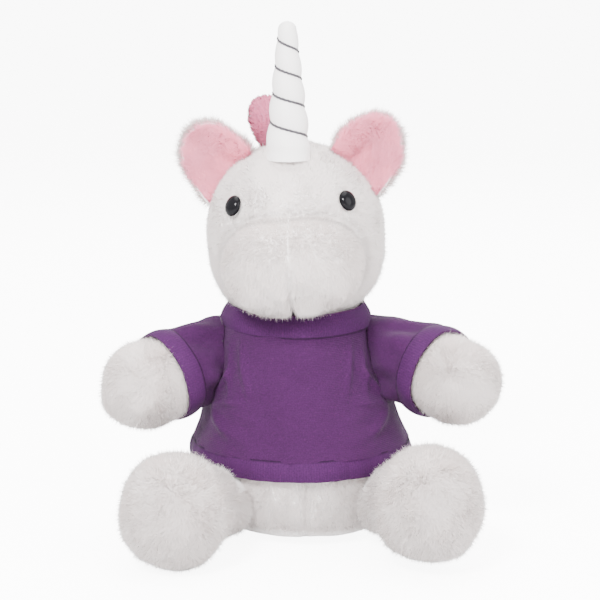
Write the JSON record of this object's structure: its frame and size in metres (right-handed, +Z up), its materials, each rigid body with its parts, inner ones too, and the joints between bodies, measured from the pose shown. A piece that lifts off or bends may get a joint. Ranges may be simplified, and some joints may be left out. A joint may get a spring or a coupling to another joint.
{
  "type": "plush unicorn toy",
  "caption": "Sitting stuffed unicorn with a wide soft muzzle, a horn wound with thread, held-out arms, round soles and a knitted short-sleeved shirt.",
  "frame": {"origin": "middle of the flat seat, on the surface the toy sits on", "axes": "+Z up; the toy faces -Y; its own left side is +X"},
  "size_m": [0.1909, 0.1891, 0.2485],
  "materials": {
    "white_plush": "short napped pile",
    "pink_plush": "short napped pile",
    "mane_plush": "short smooth pile",
    "satin": "soft satin sheen",
    "silver_cord": "twisted thread",
    "jersey": "fine knitted jersey",
    "rib_knit": "ribbed knit",
    "eye_black": "polished dome",
    "washer_plastic": "moulded",
    "fibre_fill": "loose polyester fibre",
    "lining_cloth": "plain woven cotton",
    "pellet_plastic": "small smooth beads",
    "label_tape": "woven satin tape, blank"
  },
  "bodies": {
    "torso": {"neck_filling": "fibre_fill", "torso_cover": "white_plush", "torso_stuffing": "fibre_fill", "seat_panel": "white_plush", "pellet_bag": "lining_cloth", "pellets": "pellet_plastic", "care_label": "label_tape", "shirt_front": "jersey", "shirt_back": "jersey", "neck_band": "rib_knit", "hem_band": "rib_knit"},
    "head": {"head_cover": "white_plush", "head_stuffing": "fibre_fill", "muzzle_cover": "white_plush", "muzzle_stuffing": "fibre_fill", "left_eye": "eye_black", "right_eye": "eye_black", "left_eye_washer": "washer_plastic", "right_eye_washer": "washer_plastic", "forelock": "mane_plush", "mane": "mane_plush"},
    "left_ear": {"left_ear_back": "white_plush", "left_ear_lining": "pink_plush"},
    "right_ear": {"right_ear_back": "white_plush", "right_ear_lining": "pink_plush"},
    "horn": {"horn_cover": "satin", "horn_stuffing": "fibre_fill", "horn_cord": "silver_cord"},
    "tail": {"tail_cover": "mane_plush", "tail_stuffing": "fibre_fill"},
    "left_arm": {"left_arm_cover": "white_plush", "left_arm_stuffing": "fibre_fill", "left_sleeve": "jersey", "left_cuff": "rib_knit"},
    "right_arm": {"right_arm_cover": "white_plush", "right_arm_stuffing": "fibre_fill", "right_sleeve": "jersey", "right_cuff": "rib_knit"},
    "left_leg": {"left_leg_cover": "white_plush", "left_sole": "white_plush", "left_leg_stuffing": "fibre_fill"},
    "right_leg": {"right_leg_cover": "white_plush", "right_sole": "white_plush", "right_leg_stuffing": "fibre_fill"}
  },
  "joints": [
    {"name": "head_turn", "type": "hinge", "parent": "torso", "child": "head", "pos_m": [-0.0048, -0.005, 0.1475], "axis": [0, 0, 1], "range_deg": [-20, 20], "stiffness_Nm_per_rad": 0.35},
    {"name": "left_ear_fold", "type": "hinge", "parent": "head", "child": "left_ear", "pos_m": [0.02555, -0.00686, 0.17791], "axis": [0.7058, -0.0432, -0.7071], "range_deg": [-10, 10], "stiffness_Nm_per_rad": 0.01},
    {"name": "right_ear_fold", "type": "hinge", "parent": "head", "child": "right_ear", "pos_m": [-0.03816, -0.00296, 0.17456], "axis": [0.6281, -0.0384, 0.7771], "range_deg": [-10, 10], "stiffness_Nm_per_rad": 0.01},
    {"name": "horn_flex", "type": "hinge", "parent": "head", "child": "horn", "pos_m": [-0.00796, -0.02257, 0.18728], "axis": [0.061, 0.9981, 0], "range_deg": [-5, 5], "stiffness_Nm_per_rad": 0.06},
    {"name": "tail_swing", "type": "hinge", "parent": "torso", "child": "tail", "pos_m": [0, 0.0563, 0.025], "axis": [0, 0, 1], "range_deg": [-18, 18], "stiffness_Nm_per_rad": 0.02},
    {"name": "left_arm_raise", "type": "hinge", "parent": "torso", "child": "left_arm", "pos_m": [0.044, -0.007, 0.087], "axis": [-0.7193, -0.6947, 0], "range_deg": [-5, 24], "stiffness_Nm_per_rad": 0.14},
    {"name": "right_arm_raise", "type": "hinge", "parent": "torso", "child": "right_arm", "pos_m": [-0.044, -0.007, 0.087], "axis": [-0.5878, 0.809, 0], "range_deg": [-5, 24], "stiffness_Nm_per_rad": 0.14},
    {"name": "left_leg_splay", "type": "hinge", "parent": "torso", "child": "left_leg", "pos_m": [0.033, -0.027, 0.02], "axis": [0, 0, 1], "range_deg": [-6, 12], "stiffness_Nm_per_rad": 0.25},
    {"name": "right_leg_splay", "type": "hinge", "parent": "torso", "child": "right_leg", "pos_m": [-0.033, -0.027, 0.02], "axis": [0, 0, -1], "range_deg": [-6, 12], "stiffness_Nm_per_rad": 0.25}
  ]
}
